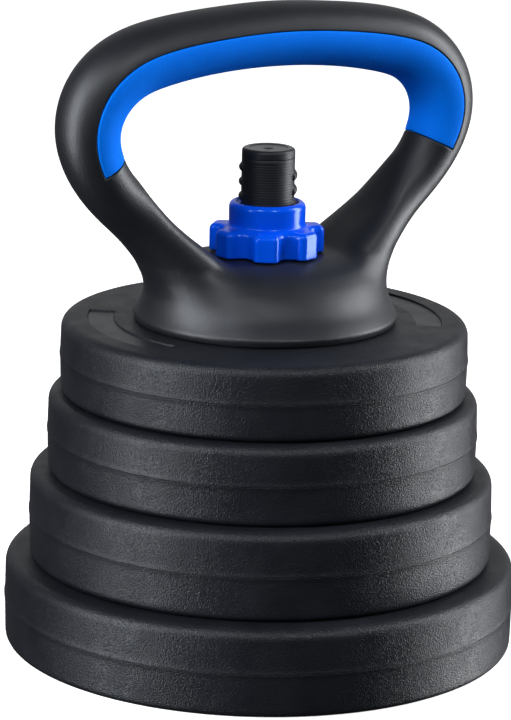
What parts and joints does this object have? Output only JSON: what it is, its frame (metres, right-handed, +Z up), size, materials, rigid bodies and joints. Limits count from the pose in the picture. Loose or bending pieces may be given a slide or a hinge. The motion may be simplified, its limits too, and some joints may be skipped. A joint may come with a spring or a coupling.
{
  "type": "adjustable kettlebell",
  "caption": "Adjustable kettlebell: round filled plates stacked on a threaded rod under a wide loop handle with a blue grip, clamped by a star-shaped nut.",
  "frame": {"origin": "centre of the base plate's underside, on the surface that the kettlebell stands on", "axes": "+Z up along the rod; the handle's loop lies in the XZ plane, so +X runs along the hand bar"},
  "size_m": [0.24, 0.24, 0.3013],
  "materials": {
    "plate_shell": "fine pebble grain, semi-matt",
    "handle_plastic": "satin, faintly grained",
    "grip_blue": "matt, finely textured soft grip",
    "nut_blue": "glossy moulded",
    "rod_plastic": "semi-matt moulded thread",
    "cement": "rough cast",
    "plug": "matt",
    "steel": "zinc plated",
    "black_rubber": "matt"
  },
  "bodies": {
    "base": {"base_plate_upper_shell": "plate_shell", "base_plate_lower_shell": "plate_shell", "base_plate_cement_core": "cement", "base_plate_filler_plug": "plug", "rod_sleeve": "rod_plastic", "rod_core": "steel", "rod_top_cap": "rod_plastic", "rod_foot_flange": "steel", "rod_foot_bolt": "steel"},
    "lower_plate": {"lower_plate_upper_shell": "plate_shell", "lower_plate_lower_shell": "plate_shell", "lower_plate_cement_core": "cement", "lower_plate_filler_plug": "plug"},
    "middle_plate": {"middle_plate_upper_shell": "plate_shell", "middle_plate_lower_shell": "plate_shell", "middle_plate_cement_core": "cement", "middle_plate_filler_plug": "plug"},
    "top_plate": {"top_plate_upper_shell": "plate_shell", "top_plate_lower_shell": "plate_shell", "top_plate_cement_core": "cement", "top_plate_filler_plug": "plug"},
    "handle": {"handle_body": "handle_plastic", "grip_insert": "grip_blue"},
    "nut_seat": {"nut_gasket": "black_rubber"},
    "nut": {"star_nut": "nut_blue"}
  },
  "joints": [
    {"name": "lower_plate_turn", "type": "hinge", "parent": "base", "child": "lower_plate", "pos_m": [0, 0, 0.06], "axis": [0, 0, 1], "continuous": true},
    {"name": "middle_plate_turn", "type": "hinge", "parent": "base", "child": "middle_plate", "pos_m": [0, 0, 0.1], "axis": [0, 0, 1], "continuous": true},
    {"name": "top_plate_turn", "type": "hinge", "parent": "base", "child": "top_plate", "pos_m": [0, 0, 0.136], "axis": [0, 0, 1], "continuous": true},
    {"name": "handle_swivel", "type": "hinge", "parent": "base", "child": "handle", "pos_m": [0, 0, 0.17], "axis": [0, 0, 1], "continuous": true},
    {"name": "nut_lift", "type": "slide", "parent": "base", "child": "nut_seat", "axis": [0, 0, 1], "range_m": [0, 0.0476]},
    {"name": "nut_spin", "type": "hinge", "parent": "nut_seat", "child": "nut", "pos_m": [0, 0, 0.19], "axis": [0, 0, 1], "range_deg": [0, 2520]}
  ],
  "couplings": [
    {"joint": "nut_lift", "follows": "nut_spin", "m_per_rad": 0.0010823}
  ]
}
